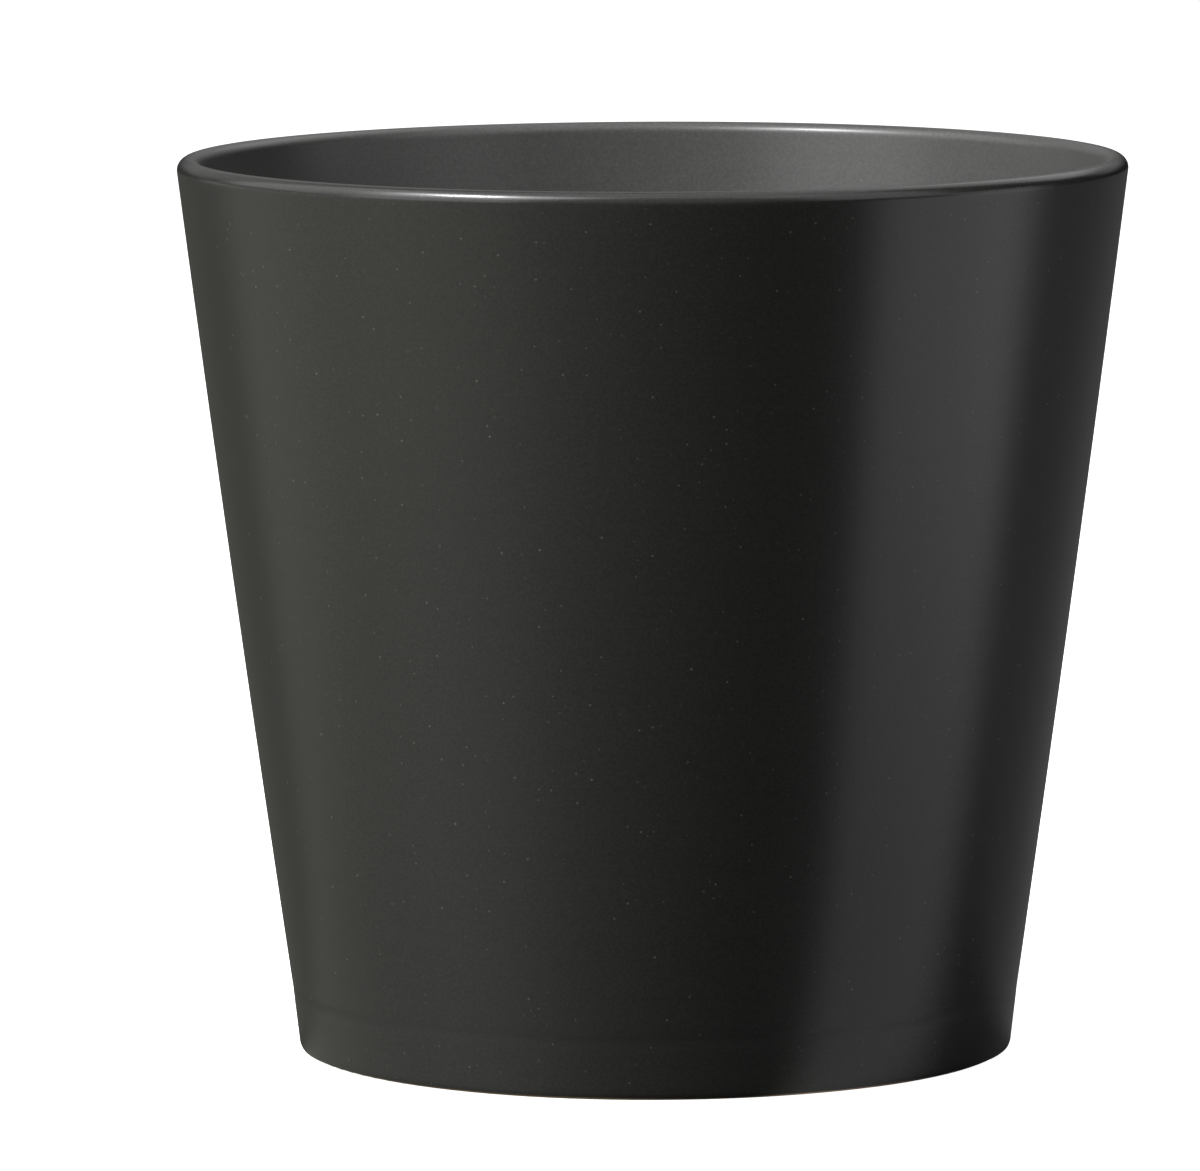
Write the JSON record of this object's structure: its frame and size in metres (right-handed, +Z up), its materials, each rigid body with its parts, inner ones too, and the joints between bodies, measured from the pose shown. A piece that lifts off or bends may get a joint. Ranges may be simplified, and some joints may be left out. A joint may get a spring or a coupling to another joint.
{
  "type": "empty candle vessel",
  "caption": "Empty tapered ceramic cup with a rounded lip and a dry foot ring, in satin anthracite glaze, for pouring a candle or holding a small pot.",
  "frame": {"origin": "centre of the foot, on the surface that the cup stands on", "axes": "+Z up along the axis of the cup; the cup is round, so +X and +Y are any two level directions"},
  "size_m": [0.14, 0.14, 0.1323],
  "materials": {
    "bare_clay": "fired, unglazed, fine matt grain",
    "anthracite_glaze": "satin, near black, a few tiny pale specks"
  },
  "bodies": {
    "root": {"clay_body": "bare_clay", "outer_glaze": "anthracite_glaze", "liner_glaze": "anthracite_glaze", "recess_glaze": "anthracite_glaze"}
  },
  "joints": []
}
